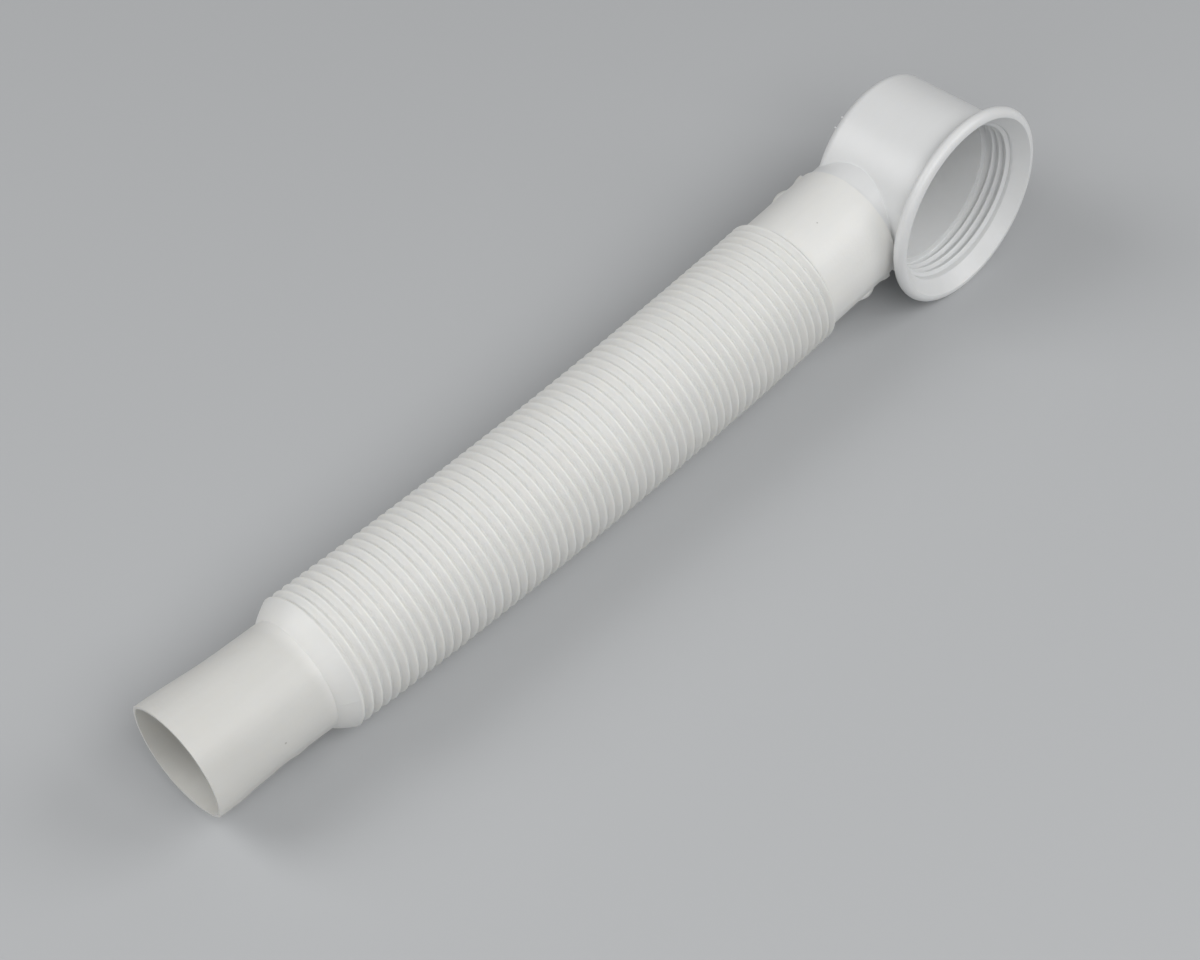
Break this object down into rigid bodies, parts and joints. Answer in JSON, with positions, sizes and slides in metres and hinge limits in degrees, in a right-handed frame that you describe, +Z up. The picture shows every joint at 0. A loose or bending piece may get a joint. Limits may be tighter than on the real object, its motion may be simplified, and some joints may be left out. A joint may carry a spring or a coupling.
{
  "type": "drain pipe",
  "caption": "Expandable corrugated waste hose with a plain spigot at one end and a pushed-on elbow socket with a flanged, threaded mouth at the other",
  "frame": {"origin": "bottom centre of the whole, on the surface it lies on", "axes": "X along the hose with the elbow at +X, the elbow's mouth faces -Y and a little up, Z up"},
  "size_m": [0.3732, 0.0636, 0.0733],
  "materials": {
    "hose_white": "warm white blow-moulded polyethylene, soft satin",
    "elbow_white": "cool white injection-moulded polypropylene, satin gloss"
  },
  "bodies": {
    "root": {"corrugated_hose": "hose_white", "elbow_socket": "elbow_white"}
  },
  "joints": []
}
